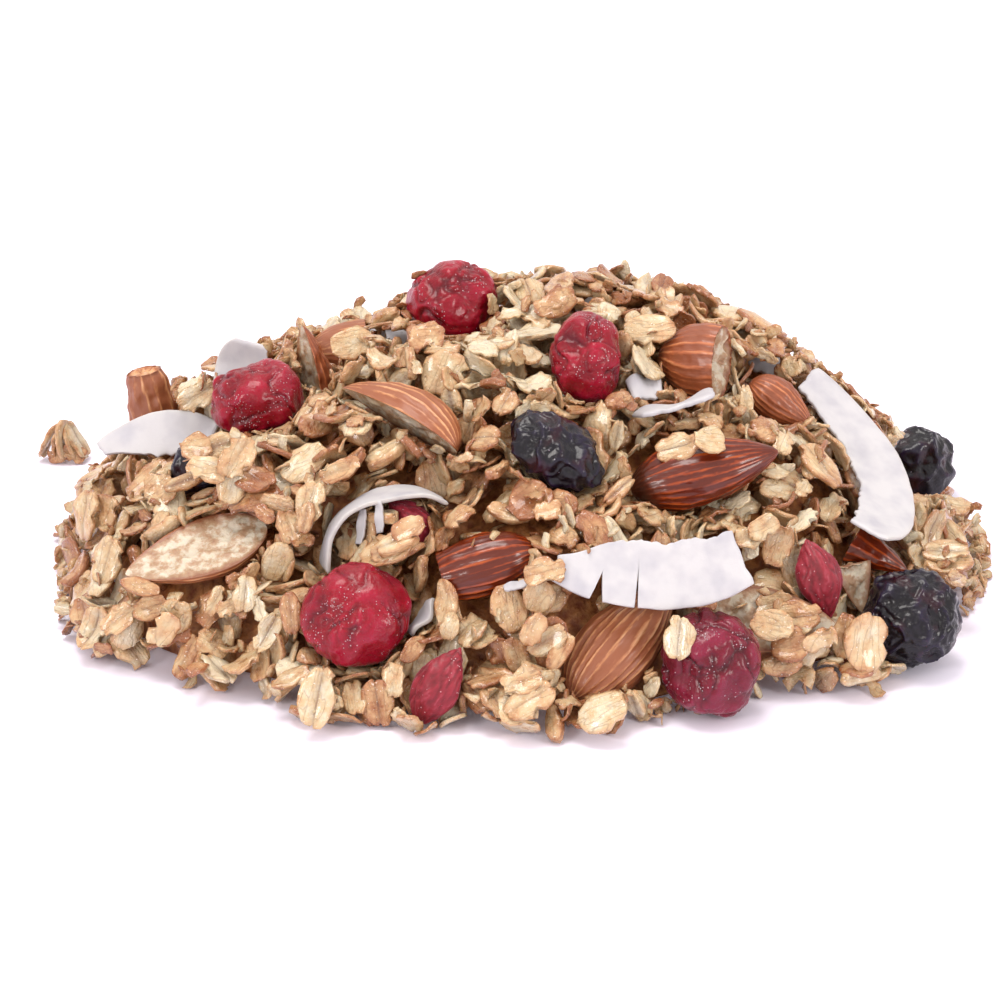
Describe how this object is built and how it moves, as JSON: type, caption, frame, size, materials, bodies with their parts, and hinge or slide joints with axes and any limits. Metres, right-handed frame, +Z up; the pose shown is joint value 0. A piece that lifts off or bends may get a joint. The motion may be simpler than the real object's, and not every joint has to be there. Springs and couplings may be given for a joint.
{
  "type": "heap of granola",
  "caption": "Loose heap of baked oat granola with almonds, dried cherries, dark berries, goji berries and coconut chips, resting as it lies on a flat surface.",
  "frame": {"origin": "on the table under the middle of the heap's footprint, at the flat underside that it rests on", "axes": "+X to the viewer's right along the heap's longer side, +Y away from the viewer, +Z up"},
  "size_m": [0.1579, 0.1252, 0.0485],
  "materials": {
    "oat": "toasted rolled oats under a thin honey glaze",
    "almond": "ribbed brown skin, satin, with cream flesh where cut",
    "cherry": "moist wrinkled skin with sugar sparkles",
    "dark_berry": "moist wrinkled blue-black skin",
    "goji": "finely pleated dry red skin",
    "coconut": "dry white flesh, slightly translucent"
  },
  "bodies": {
    "root": {"granola_heap": "oat", "stray_cluster": "oat", "almond_deep": "almond", "cherry_front": "cherry", "coconut_sliver": "coconut", "almond_ribbed": "almond", "cherry_right": "cherry", "goji_front": "goji", "almond_pale": "almond", "goji_right": "goji", "almond_cut_face": "almond", "goji_in_curl": "goji", "coconut_curl": "coconut", "dark_berry_left": "dark_berry", "coconut_left": "coconut", "almond_chunk_left": "almond", "coconut_standing": "coconut", "cherry_left": "cherry", "almond_upright": "almond", "almond_back": "almond", "coconut_back_left": "coconut", "almond_split_top": "almond", "cherry_crown": "cherry", "coconut_under": "coconut", "cherry_back": "cherry", "dark_berry_middle": "dark_berry", "almond_glossy": "almond", "almond_broken": "almond", "almond_small": "almond", "coconut_edge": "coconut", "coconut_back": "coconut", "coconut_back_right": "coconut", "dark_berry_back": "dark_berry", "dark_berry_right": "dark_berry", "almond_torn": "almond", "almond_wedge": "almond", "coconut_right": "coconut", "coconut_front": "coconut"}
  },
  "joints": []
}
